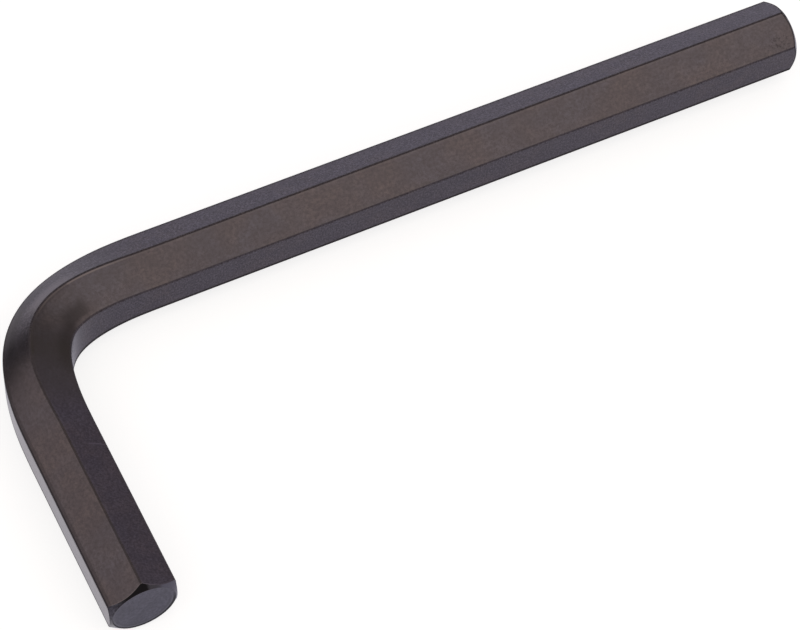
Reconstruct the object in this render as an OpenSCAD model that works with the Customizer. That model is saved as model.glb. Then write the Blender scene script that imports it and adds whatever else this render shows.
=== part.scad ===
/* [Bar] */
// Width across two opposite flats of the hexagonal bar, the size the key is sold by
across_flats = 8; // [5:0.5:12]
// Width of the narrow round land that the drawing die leaves along each edge of the bar
edge_land = 0.25; // [0.1:0.05:0.6]

/* [Arms] */
// Long arm over all, from its end face to the outside of the short arm
long_arm = 108; // [80:1:180]
// Short arm over all, from its end face to the outside of the long arm
short_arm = 44; // [36:1:70]

/* [Bend] */
// Radius of the flat on the inside of the bend
bend_inner_r = 7.7; // [4:0.1:10]

/* [Ends] */
// How far each end chamfer comes in from the edges of the bar, measured across the end face
chamfer_in = 0.8; // [0.2:0.05:1.2]
// Slope of the end chamfers, measured from the end face
chamfer_angle = 38; // [20:1:50]

/* [Hidden] */

$fn = 96;

FLATS = 6;
HALF_CORNER = 180 / FLATS;
RIGHT_ANGLE = 90;
// The turned envelope stands this far outside the bar's edges, so only its cone cuts
ENVELOPE_GAP = 1;

// Sharp hexagon, then the circle about the bar's axis that takes its corners down to the lands
flat_r = across_flats / 2;
corner_r = flat_r / cos(HALF_CORNER);
land_middle = (flat_r - edge_land * sin(HALF_CORNER) / 2) / cos(HALF_CORNER);
edge_r = sqrt(pow(land_middle, 2) + pow(edge_land / 2, 2));

// The bend turns about one centre, and its radius is taken at the middle of the bar
bend_r = bend_inner_r + flat_r;
bend_reach = bend_r + flat_r;
long_straight = long_arm - bend_reach;
short_straight = short_arm - bend_reach;

end_face_r = edge_r - chamfer_in;
envelope_r = edge_r + ENVELOPE_GAP;
envelope_depth = (envelope_r - end_face_r) * tan(chamfer_angle);

// Hexagon with its corners taken down: one corner points up along Y, and a flat faces each way along X
module bar_section() {
    intersection() {
        rotate(RIGHT_ANGLE) circle(r = corner_r, $fn = FLATS);
        circle(r = edge_r);
    }
}

// What a lathe leaves of a round bar of this length when it chamfers the far end
module turned_envelope(length) {
    rotate_extrude()
        polygon([
            [0, 0],
            [envelope_r, 0],
            [envelope_r, length - envelope_depth],
            [end_face_r, length],
            [0, length]
        ]);
}

// Straight length of bar along Z, chamfered at its far end, where the flats run out in scallops
module straight_arm(length) {
    intersection() {
        linear_extrude(length) bar_section();
        turned_envelope(length);
    }
}

// Quarter turn of the same bar about Z, from the start of the long arm to the start of the short arm
module bend() {
    rotate(RIGHT_ANGLE)
        rotate_extrude(angle = RIGHT_ANGLE)
            translate([bend_r, 0]) bar_section();
}

// The key lies on its lowest edge, and the origin is under the middle of its box
module hex_key() {
    color([0.2, 0.19, 0.2])
        translate([bend_reach - long_arm / 2, short_arm / 2 - bend_reach, edge_r]) {
            translate([0, bend_r, 0]) rotate([90, 0, 90]) straight_arm(long_straight);
            bend();
            translate([-bend_r, 0, 0]) rotate([90, 0, 0]) straight_arm(short_straight);
        }
}

hex_key();
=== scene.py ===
"""A hex key lying on a white table: its looks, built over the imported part."""
import math

import bpy
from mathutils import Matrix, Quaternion, Vector


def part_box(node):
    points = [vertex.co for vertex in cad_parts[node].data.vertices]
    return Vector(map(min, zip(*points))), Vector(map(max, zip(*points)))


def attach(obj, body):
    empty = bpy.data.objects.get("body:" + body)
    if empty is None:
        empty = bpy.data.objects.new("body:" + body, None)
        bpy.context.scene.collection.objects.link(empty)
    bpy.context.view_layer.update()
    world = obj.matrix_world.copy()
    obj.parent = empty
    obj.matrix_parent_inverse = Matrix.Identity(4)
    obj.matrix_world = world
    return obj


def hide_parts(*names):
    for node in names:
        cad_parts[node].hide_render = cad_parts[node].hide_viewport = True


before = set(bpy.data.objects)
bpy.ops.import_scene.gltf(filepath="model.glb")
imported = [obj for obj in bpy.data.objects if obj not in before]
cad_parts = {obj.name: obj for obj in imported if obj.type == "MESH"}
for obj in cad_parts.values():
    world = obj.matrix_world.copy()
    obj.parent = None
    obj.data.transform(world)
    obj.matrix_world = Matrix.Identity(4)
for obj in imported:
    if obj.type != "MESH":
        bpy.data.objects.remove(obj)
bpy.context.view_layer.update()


# Hex key
# One length of cold-drawn hexagonal steel bar, bent once round a former through a right angle. Its ends are cut
# square and chamfered in a lathe, and the whole key is hardened and blackened in a hot oxide bath.

mm = 0.001
across_flats = 8 * mm
edge_land = 0.25 * mm
long_arm = 108 * mm
short_arm = 44 * mm
end_face_r = 3.75 * mm
chamfer_angle = math.radians(38)
# How far the bend reaches along each arm, and the share of that over which each end of it keeps its direction
bend_reach = 15.68 * mm
bend_pull = 0.756

flat_r = across_flats / 2
corner_r = flat_r / math.cos(math.radians(30))
edge_r = corner_r - edge_land / 2 / math.tan(math.radians(60))
long_straight = long_arm - flat_r - bend_reach
short_straight = short_arm - flat_r - bend_reach

# The bar's middle line, from the short end to the long end. Its arms meet where they meet in the CAD, and it turns
# gently at both ends of the bend and tightly in the middle, as a bar does that is pushed round a former.
lowest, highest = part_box("hex_key")
corner = Vector((lowest.x + flat_r, highest.y - flat_r, edge_r))
bpy.ops.object.select_all(action="DESELECT")
bpy.ops.curve.primitive_bezier_curve_add(location=corner)
middle_line = bpy.context.object
middle_line.data.twist_mode = "Z_UP"
spline = middle_line.data.splines[0]
spline.resolution_u = 256
spline.bezier_points.add(2)
pull = bend_pull * bend_reach
handle = 5 * mm
# Each point of the line from the corner, then its handles before and after it
path = [
    ((0, -short_straight - bend_reach), (0, handle), (0, handle)),
    ((0, -bend_reach), (0, handle), (0, pull)),
    ((bend_reach, 0), (pull, 0), (handle, 0)),
    ((long_straight + bend_reach, 0), (handle, 0), (handle, 0)),
]
for point, (place, before, after) in zip(spline.bezier_points, path):
    point.handle_left_type = "FREE"
    point.handle_right_type = "FREE"
    point.co = (place[0], place[1], 0)
    point.handle_left = (place[0] - before[0], place[1] - before[1], 0)
    point.handle_right = (place[0] + after[0], place[1] + after[1], 0)
bar_length = spline.calc_length(resolution=1024)
bend_length = bar_length - long_straight - short_straight


def pick_faces(wanted):
    """Selects the faces of the edited mesh whose middle and normal satisfy wanted(middle, normal)."""
    bpy.ops.mesh.select_mode(type="FACE")
    bpy.ops.mesh.select_all(action="DESELECT")
    bpy.ops.object.mode_set(mode="OBJECT")
    for polygon in bpy.context.object.data.polygons:
        polygon.select = wanted(polygon.center, polygon.normal)
    bpy.ops.object.mode_set(mode="EDIT")


# Section of the bar: a hexagon with one corner up, its corners taken down to narrow lands
bpy.ops.object.select_all(action="DESELECT")
bpy.ops.mesh.primitive_circle_add(
    vertices=6,
    radius=corner_r,
    fill_type="NGON",
    location=corner,
    rotation=(math.radians(90), 0, math.radians(90)),
    enter_editmode=True,
)
key = bpy.context.object
key.name = "key_bar"
bpy.ops.mesh.bevel(offset=edge_land / math.sqrt(3), affect="VERTICES", segments=1)
bpy.ops.mesh.subdivide(number_cuts=7)

# The bar is drawn out straight along X, in one run for each arm and in short steps where it will bend
run_in = 4 * mm
bend_steps = 96
steps = [short_straight - run_in]
steps += [(bend_length + 2 * run_in) / bend_steps] * bend_steps
steps += [long_straight - run_in]
for step in steps:
    bpy.ops.mesh.extrude_region_move(TRANSFORM_OT_translate={"value": (step, 0, 0)})
bpy.ops.mesh.select_all(action="SELECT")
bpy.ops.mesh.normals_make_consistent(inside=False)
bpy.ops.object.mode_set(mode="OBJECT")
bpy.ops.object.transform_apply(location=False, rotation=True, scale=True)

# What the lathe leaves of a round bar of this length, with a cone on each end
lathe_r = edge_r + 1 * mm
cone_depth = (lathe_r - end_face_r) * math.tan(chamfer_angle)
bpy.ops.object.select_all(action="DESELECT")
bpy.ops.mesh.primitive_cylinder_add(
    vertices=180,
    radius=lathe_r,
    depth=bar_length - 2 * cone_depth,
    location=corner + Vector((bar_length / 2, 0, 0)),
    rotation=(0, math.radians(90), 0),
)
turned = bpy.context.object
bpy.ops.object.transform_apply(location=False, rotation=True, scale=True)
bpy.ops.object.mode_set(mode="EDIT")
for side in (1, -1):
    pick_faces(lambda middle, normal: normal.x * side > 0.9)
    bpy.ops.mesh.extrude_region_move(TRANSFORM_OT_translate={"value": (side * cone_depth, 0, 0)})
    bpy.ops.transform.resize(value=(1, end_face_r / lathe_r, end_face_r / lathe_r))
bpy.ops.object.mode_set(mode="OBJECT")

bpy.ops.object.select_all(action="DESELECT")
bpy.context.view_layer.objects.active = key
key.select_set(True)
bpy.ops.object.modifier_add(type="BOOLEAN")
chamfers = key.modifiers[-1]
chamfers.operation = "INTERSECT"
chamfers.solver = "EXACT"
chamfers.object = turned
bpy.ops.object.modifier_apply(modifier=chamfers.name)
bpy.data.objects.remove(turned)

# The cut leaves a few doubled points, which are merged
finest = 0.001 * mm
bpy.ops.object.mode_set(mode="EDIT")
bpy.ops.mesh.select_all(action="SELECT")
bpy.ops.mesh.remove_doubles(threshold=finest)
bpy.ops.mesh.dissolve_degenerate(threshold=finest)
bpy.ops.object.mode_set(mode="OBJECT")

# Each point remembers where it was in the straight bar, in millimetres: along it, outwards and upwards
straight = key.data.attributes.new("straight", "FLOAT_VECTOR", "POINT")
for point, vertex in zip(straight.data, key.data.vertices):
    point.vector = vertex.co / mm

# As the bar bends, its section gives: the upper and lower edges go outwards, both flats go inwards, the outer one
# narrows and the inner one widens, and it starts a little before the bend
edges_out = 0.602 * mm
inner_flat_out = -0.127 * mm
outer_flat_out = -0.392 * mm
inner_flat_width = 1.2359
outer_flat_width = 0.8329
half_bend = bend_length / 2
giving = 1.2 * half_bend


def across(side, inner_value, middle_value, outer_value):
    """Runs smoothly from the inner value at side -1, through the middle one at 0, to the outer one at 1."""
    slope = (outer_value - inner_value) / 2
    curve = (outer_value + inner_value) / 2 - middle_value
    return middle_value + slope * side + curve * side**2


for vertex in key.data.vertices:
    along, out, up = vertex.co
    depth = min(along - short_straight, bar_length - long_straight - along)
    share = min(max(1 - (half_bend - depth) / giving, 0), 1)
    share = share**2 * (3 - 2 * share)
    side = out / flat_r
    widened = 1 + share * (across(side, inner_flat_width, 1, outer_flat_width) - 1)
    vertex.co.y = out + share * across(side, inner_flat_out, edges_out, outer_flat_out)
    vertex.co.z = min(max(up * widened, -edge_r), edge_r)

bpy.ops.object.modifier_add(type="CURVE")
former = key.modifiers[-1]
former.object = middle_line
former.deform_axis = "POS_X"
bpy.ops.object.modifier_apply(modifier=former.name)
bpy.data.objects.remove(middle_line)
bpy.ops.object.transform_apply(location=True, rotation=True, scale=True)
bpy.ops.object.shade_smooth_by_angle(angle=math.radians(20))


class Finish:
    """A socket of a finish. Sums and products of it add Math nodes, and node() adds any other node."""

    def __init__(self, tree, socket=None):
        self.tree = tree
        self.socket = socket

    def node(self, kind, settings=None, inputs=None, output=0):
        """Adds a node of this kind, with its settings and the values or links of its sockets."""
        made = self.tree.nodes.new(kind)
        for name, value in (settings or {}).items():
            setattr(made, name, value)
        for name, value in (inputs or {}).items():
            if isinstance(value, Finish):
                self.tree.links.new(value.socket, made.inputs[name])
            else:
                made.inputs[name].default_value = value
        return Finish(self.tree, made.outputs[output])

    def math(self, operation, *values):
        return self.node("ShaderNodeMath", {"operation": operation}, dict(enumerate(values)))

    def __add__(self, other):
        return self.math("ADD", self, other)

    def __sub__(self, other):
        return self.math("SUBTRACT", self, other)

    def __rsub__(self, other):
        return self.math("SUBTRACT", other, self)

    def __mul__(self, other):
        return self.math("MULTIPLY", self, other)

    def __truediv__(self, other):
        return self.math("DIVIDE", self, other)

    def __pow__(self, other):
        return self.math("POWER", self, other)

    __radd__ = __add__
    __rmul__ = __mul__

    def between(self, low, high):
        """0 where this is below low, 1 where it is above high, and smooth between them."""
        return self.node(
            "ShaderNodeMapRange",
            {"interpolation_type": "SMOOTHSTEP"},
            {"Value": self, "From Min": low, "From Max": high},
        )

    def band(self, rise, full, fall, end):
        """1 from full to fall, and 0 below rise and above end."""
        return self.between(rise, full) * (1 - self.between(fall, end))

    def noise(self, scale, detail, roughness=0.5):
        """A cloud pattern over the places that this holds, in clouds about 1 / scale across."""
        return self.node(
            "ShaderNodeTexNoise",
            inputs={"Vector": self, "Scale": scale, "Detail": detail, "Roughness": roughness},
        )

    def stretched(self, *factors):
        """These places, times a factor for each axis."""
        return self.node("ShaderNodeVectorMath", {"operation": "MULTIPLY"}, {0: self, 1: factors})

    def blend(self, first, second):
        """Colour first where this is 0 and second where it is 1."""
        return self.node(
            "ShaderNodeMix", {"data_type": "RGBA"}, {"Factor": self, 6: first, 7: second}, output=2
        )


black_steel = bpy.data.materials.new("black_steel")
black_steel.use_nodes = True
tree = black_steel.node_tree
shader = tree.nodes["Principled BSDF"]
shader.inputs["Metallic"].default_value = 1.0
paint = Finish(tree)

place = paint.node("ShaderNodeAttribute", {"attribute_name": "straight"}, output="Vector")
along, out, up = (place.node("ShaderNodeSeparateXYZ", inputs={"Vector": place}, output=axis) for axis in "XYZ")

# Where a point is on the bar, in millimetres: how far from its axis, past the long arm's end of the bend, from the
# nearer end face and from the turned cone
edge_mm = edge_r / mm
from_axis = (out**2 + up**2) ** 0.5
past = (bend_length + short_straight) / mm - along
end_gap = paint.math("MINIMUM", along, bar_length / mm - along)
cone_r = end_face_r / mm + end_gap / math.tan(chamfer_angle)
under_cone = cone_r - from_axis

# Which face or edge it is on. The upper inner flat is the one above that faces the inside of the bend.
upper = up.between(-0.4, 0.4)
outer = upper * out.between(1.0, 2.0)
inner = upper * (1 - out.between(-2.0, -1.0))
inner_flat = up.between(2.25, 2.35) * (1 - out.between(-0.2, 0.0))
on_end = 1 - end_gap.between(0.004, 0.02)
on_cone = (1 - under_cone.between(0.005, 0.03)) * (1 - on_end)
on_edge = from_axis.between(edge_mm - 0.018, edge_mm - 0.004) * (1 - on_cone) * (1 - on_end)
by_edge = from_axis.between(edge_mm - 0.20, edge_mm - 0.14) * (1 - on_edge)
far_end = along.between(60.0, 70.0)

# Oxide takes unevenly: wide clouds from blue to brown, patches, a fine mottle, faint streaks that the drawing die
# left along the bar, and grit
clouds = place.noise(0.16, 3.0)
patches = place.noise(0.5, 3.0)
mottle = place.noise(2.6, 4.0, 0.65)
streaks = place.stretched(0.12, 1.0, 1.0).noise(4.0, 3.0)
grit = place.noise(8.0, 2.0)
oxide = clouds.between(0.36, 0.64).blend((0.099, 0.091, 0.109, 1), (0.112, 0.093, 0.098, 1))
oxide = (patches.between(0.35, 0.65) * 0.5).blend(oxide, (0.083, 0.073, 0.083, 1))
oxide = (mottle.between(0.32, 0.68) * 0.9).blend(oxide, (0.074, 0.065, 0.072, 1))
oxide = (streaks.between(0.35, 0.7) * 0.25).blend(oxide, (0.068, 0.058, 0.066, 1))
oxide = (grit.between(0.56, 0.76) * 0.7).blend(oxide, (0.050, 0.044, 0.048, 1))

# The long arm's side flats are coarser in grain than its upper inner flat, and the short arm is finer all round
bent = past.between(14.0, 20.0)
grained = (1 - inner_flat) * (1 - bent) + (inner_flat * 0.4 + 0.1) * bent
grain = place.stretched(1.0, 0.7, 0.7).noise(5.0, 2.0)
oxide = (patches.between(0.42, 0.62) * grained * 0.65).blend(oxide, (0.072, 0.064, 0.076, 1))
oxide = ((1 - grain.between(0.32, 0.5)) * grained).blend(oxide, (0.055, 0.047, 0.053, 1))
oxide = (grain.between(0.5, 0.68) * grained).blend(oxide, (0.125, 0.110, 0.127, 1))

# Painted light in the bend: a painted highlight on the upper outer flat beside the top edge, a painted highlight
# line on the inner side of that edge, a painted dark line between the two, painted shade on the upper flats, a
# warm painted shade on the upper inner one and a faint painted highlight on the flat inside the bend
painted_highlight = (0.148, 0.132, 0.141, 1)
painted_shade = (0.040, 0.035, 0.038, 1)
# Painted highlight on the upper outer flat beside the top edge, in the bend
bend_highlight = past.band(5.0, 9.5, 11.0, 13.5) * (1 - out.between(0.7, 2.2)) * out.between(0.05, 0.15) * upper
oxide = bend_highlight.blend(oxide, painted_highlight)
# Painted shade: a thin dark line on the upper outer flat beside the top edge, along the long arm
ridge_shade = (1 - past.between(11.0, 14.0)) * out.band(0.09, 0.13, 0.22, 0.3) * upper
oxide = (ridge_shade * 0.35).blend(oxide, painted_shade)
# Painted highlight: a thin light line on the upper inner flat beside the top edge, brightest in the bend
ridge_highlight = (past.band(-2.0, 5.0, 11.0, 14.0) * 0.8 + 0.15) * out.band(-0.36, -0.26, -0.16, -0.12) * upper
oxide = ridge_highlight.blend(oxide, (0.150, 0.128, 0.135, 1))
# Painted shade on the upper inner flat in the bend and on the outer part of the upper outer flat
bend_shade = past.band(6.5, 8.5, 10.5, 13.0) * out.band(-3.85, -3.4, -2.8, -1.6) * inner_flat * 0.75
bend_shade = bend_shade + past.band(10.5, 12.5, 18.0, 21.5) * (1 - out.between(-3.4, -2.4)) * inner_flat * 0.65
bend_shade = bend_shade + past.band(7.5, 13.0, 16.5, 18.5) * out.between(1.4, 2.6) * upper * 0.75
oxide = bend_shade.blend(oxide, painted_shade)
# Warm painted shade, darker, on the upper inner flat towards the short arm's end of the bend
warm_bend_shade = past.band(13.0, 18.0, 22.0, 27.0) * inner_flat
oxide = (warm_bend_shade * 0.55).blend(oxide, (0.078, 0.069, 0.062, 1))
# Faint painted highlight on the flat inside the bend
inner_bend_highlight = past.band(9.0, 12.0, 19.0, 24.0) * (1 - out.between(-3.98, -3.9))
oxide = (inner_bend_highlight * 0.1).blend(oxide, painted_highlight)

# Use has left a fine curved scratch across the short arm's upper inner flat, and a few pits near the long end
scratch = past - 30.9 - (out + 1.9) ** 2 * 0.1
scratch = scratch.band(-0.12, -0.05, 0.05, 0.12) * out.band(-3.9, -3.7, -2.1, -1.8) * inner_flat
oxide = (scratch * 0.8).blend(oxide, (0.130, 0.113, 0.132, 1))
pits = past.band(-87.4, -86.8, -84.2, -83.4) * (1 - out.between(-2.6, -2.0)) * inner_flat
pits = mottle.between(0.55, 0.61) * pits
oxide = (pits * 0.6).blend(oxide, (0.040, 0.035, 0.040, 1))

# The edges are darker, partly with thicker, duller oxide and partly with painted shade. Where the cone cuts a flat
# it leaves a scallop, partly rubbed bright and partly a painted highlight at the short end, and near-black beside
# it at the long end.
# Painted shade over duller oxide: on the lower edges and the upper outer edge all along, and on the upper inner
# edge from the bend on
dull_and_shaded_edge = on_edge * (1 - upper + outer) + by_edge * ((1 - upper) * 0.9 + outer * 0.4)
dull_and_shaded_edge = dull_and_shaded_edge + past.between(12.0, 16.0) * inner * (on_edge * 0.8 + by_edge * 0.15)
oxide = dull_and_shaded_edge.blend(oxide, (0.042, 0.037, 0.042, 1))
at_scallop = 1 - end_gap.between(1.0, 1.4)
# Painted highlight along the scallop at the short end, partly rubbed bright
scallop_highlight = under_cone.band(-0.02, 0.0, 0.10, 0.18) * at_scallop * (1 - on_cone) * (1 - on_end)
scallop_highlight = scallop_highlight * up.between(2.2, 2.8) * (out.band(-1.7, -1.2, -0.1, 0.1) * 0.5 + 0.35)
oxide = (scallop_highlight * (1 - far_end)).blend(oxide, (0.170, 0.150, 0.160, 1))
# Near-black beside the scallop at the long end
long_end_dark = (1 - under_cone.between(0.16, 0.28)) * at_scallop * far_end
oxide = (long_end_dark * 0.85).blend(oxide, (0.024, 0.021, 0.024, 1))

# The cut face is greyer, with a darker ring round it towards the bottom, a painted highlight ring near its rim,
# strongest towards the bottom, and painted shade along its lower rim
from_tool = ((out - 0.12) ** 2 + (up - 0.2) ** 2) ** 0.5
low = 1 - up.between(-0.8, 1.2)
face = (patches.between(0.35, 0.65) * 0.7).blend((0.126, 0.121, 0.149, 1), (0.096, 0.093, 0.113, 1))
face = (mottle.between(0.38, 0.62) * 0.8).blend(face, (0.081, 0.079, 0.096, 1))
face = (from_tool.band(2.95, 3.1, 3.3, 3.40) * low * 0.35).blend(face, (0.070, 0.066, 0.078, 1))
# Painted highlight ring near the rim, strongest towards the bottom
face = (from_tool.band(3.36, 3.43, 3.50, 3.57) * (low * 0.5 + 0.2)).blend(face, (0.150, 0.148, 0.165, 1))
# Painted shade along the lower rim
face = (from_tool.between(3.54, 3.62) * low).blend(face, (0.020, 0.018, 0.022, 1))
oxide = on_end.blend(oxide, face)

# The turned cone is grey towards the inside of the bend and darker towards the outside, as painted shade, with
# near-black painted shade along its upper part
cone = out.between(-0.5, 1.5).blend((0.118, 0.113, 0.136, 1), (0.050, 0.047, 0.058, 1))
cone = (mottle.between(0.47, 0.57) * out.between(1.0, 2.5)).blend(cone, (0.095, 0.091, 0.110, 1))
cone = (out.between(3.2, 4.2) * 0.7).blend(cone, (0.030, 0.028, 0.034, 1))
# Near-black painted shade on the cone's upper part, standing for a dark reflection
cone_top_shade = out.band(-0.9, -0.4, 1.6, 4.2) + out.band(-2.4, -1.7, -0.9, -0.4) * 0.35
cone_top_shade = on_cone * up.between(0.5, 1.2) * cone_top_shade
cone = cone_top_shade.blend(cone, (0.014, 0.013, 0.015, 1))
oxide = on_cone.blend(oxide, cone)
tree.links.new(oxide.socket, shader.inputs["Base Color"])

# Thick oxide and painted shade on the edges, and the painted shade on the cone's upper part, are less metallic.
# The rest is satin, and rougher on the edges and the cuts.
bare = 1 - dull_and_shaded_edge * 0.75 - cone_top_shade * 0.8
tree.links.new(bare.socket, shader.inputs["Metallic"])
shader.inputs["Specular IOR Level"].default_value = 0.0
rough = 0.20 + mottle * 0.06 + grit * 0.05 + on_edge * 0.1 + on_end * 0.15
tree.links.new(rough.socket, shader.inputs["Roughness"])

# The streaks, mottle and grit stand in slight relief, and the cutting tool has left fine rings on the end faces
rings = paint.math("SINE", from_axis * 26.0)
relief = streaks * 0.3 + mottle * 0.5 + grit * 0.3 + on_end * rings * 0.35
bump = paint.node(
    "ShaderNodeBump", inputs={"Strength": 0.25, "Distance": 0.02 * mm, "Height": relief}, output="Normal"
)
tree.links.new(bump.socket, shader.inputs["Normal"])

key.data.materials.clear()
key.data.materials.append(black_steel)
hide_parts("hex_key")
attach(key, "root")


# Table
# A plain white table top, which the camera sees as white and which keeps the key's soft shadow. The key's own
# undersides see it as grey, and lighter on the left of the key, as they do on a table lit from that side.

bpy.ops.object.select_all(action="DESELECT")
bpy.ops.mesh.primitive_plane_add(size=4)
table = bpy.context.object
table.name = "table"
white = bpy.data.materials.new("white_table")
white.use_nodes = True
tree = white.node_tree
tree.nodes.clear()
top = Finish(tree)
seen = top.node("ShaderNodeLightPath", output="Is Camera Ray")
mirrored = top.node("ShaderNodeLightPath", output="Is Glossy Ray")
through = top.node("ShaderNodeLightPath", output="Is Transmission Ray")
spot = top.node("ShaderNodeTexCoord", output="Object")
left = 1 - spot.node("ShaderNodeSeparateXYZ", inputs={"Vector": spot}, output="X").between(-0.0545, -0.052)
lit = top.node("ShaderNodeBsdfDiffuse", inputs={"Color": (0.40, 0.405, 0.42, 1)})
tint = seen.blend(left.blend((0.98, 0.97, 1.16, 1), (0.98, 0.96, 1.04, 1)), (1, 1, 1, 1))
lift = seen * 0.77 + (mirrored + through) * (0.43 + left * 0.31)
lift = top.node("ShaderNodeEmission", inputs={"Color": tint, "Strength": lift})
both = top.node("ShaderNodeAddShader", inputs={0: lit, 1: lift})
end = tree.nodes.new("ShaderNodeOutputMaterial")
tree.links.new(both.socket, end.inputs["Surface"])
table.data.materials.append(white)


# Studio light
# A dim room with a big softbox overhead, its brightest part to the right of the camera, and a smaller one on the
# left. Behind the table stands a cool backdrop, brighter towards its right, with a dark gap on its left.

studio = bpy.data.worlds.new("studio")
bpy.context.scene.world = studio
studio.use_nodes = True
tree = studio.node_tree
sky = Finish(tree)
toward = sky.node("ShaderNodeTexCoord", output="Generated")

# Each light's middle, the angles from it in degrees where it starts and stops fading, and its colour
lights = [
    ((0.3, 0.95, -0.05), 20, 44, (0.59, 0.575, 0.735, 1)),
    ((0.5, 0.86, 0.0), 5, 22, (0.77, 0.75, 0.93, 1)),
    ((-0.51, 0.86, 0.03), 11, 26, (0.13, 0.12, 0.12, 1)),
    ((0.1, -1.0, 0.15), 14, 45, (0.42, 0.38, 0.38, 1)),
    ((0.86, 0.45, 0.24), 10, 34, (0.54, 0.50, 0.57, 1)),
    ((-0.15, -0.45, 0.88), 25, 62, (0.95, 0.88, 0.81, 1)),
    ((0.55, -0.48, 0.68), 13, 38, (1.30, 1.19, 1.07, 1)),
    ((-0.72, 0.4, 0.57), 15.5, 28, (1.05, 0.95, 0.88, 1)),
]
light = (0.385, 0.35, 0.32, 1)
for aim, near, far, colour in lights:
    aim = tuple(Vector(aim).normalized())
    turned_to = sky.node(
        "ShaderNodeVectorMath", {"operation": "DOT_PRODUCT"}, {0: toward, 1: aim}, output="Value"
    )
    away = sky.math("ARCCOSINE", turned_to) * math.degrees(1)
    light = away.between(near, far).blend(colour, light)
seen = sky.node("ShaderNodeLightPath", output="Is Camera Ray")
light = seen.blend(light, (1, 1, 1, 1))
tree.links.new(light.socket, tree.nodes["Background"].inputs["Color"])


# Camera
# A long lens above the short arm, turned a little about its own axis, as the photograph was taken. The frame is
# 800 by 630.

eye = Vector((-104.07, -157.66, 287.30)) * mm
target = Vector((-7.92, 0.34, 4.55)) * mm
roll = math.radians(5.714)
bpy.ops.object.camera_add(location=eye)
camera = bpy.context.object
turn = (target - eye).to_track_quat("-Z", "Y") @ Quaternion((0, 0, 1), roll)
camera.rotation_euler = turn.to_euler()
camera.data.sensor_width = 36
camera.data.lens = 131.32
camera.data.clip_start = 0.01
bpy.context.scene.camera = camera
bpy.context.scene.view_settings.view_transform = "Standard"
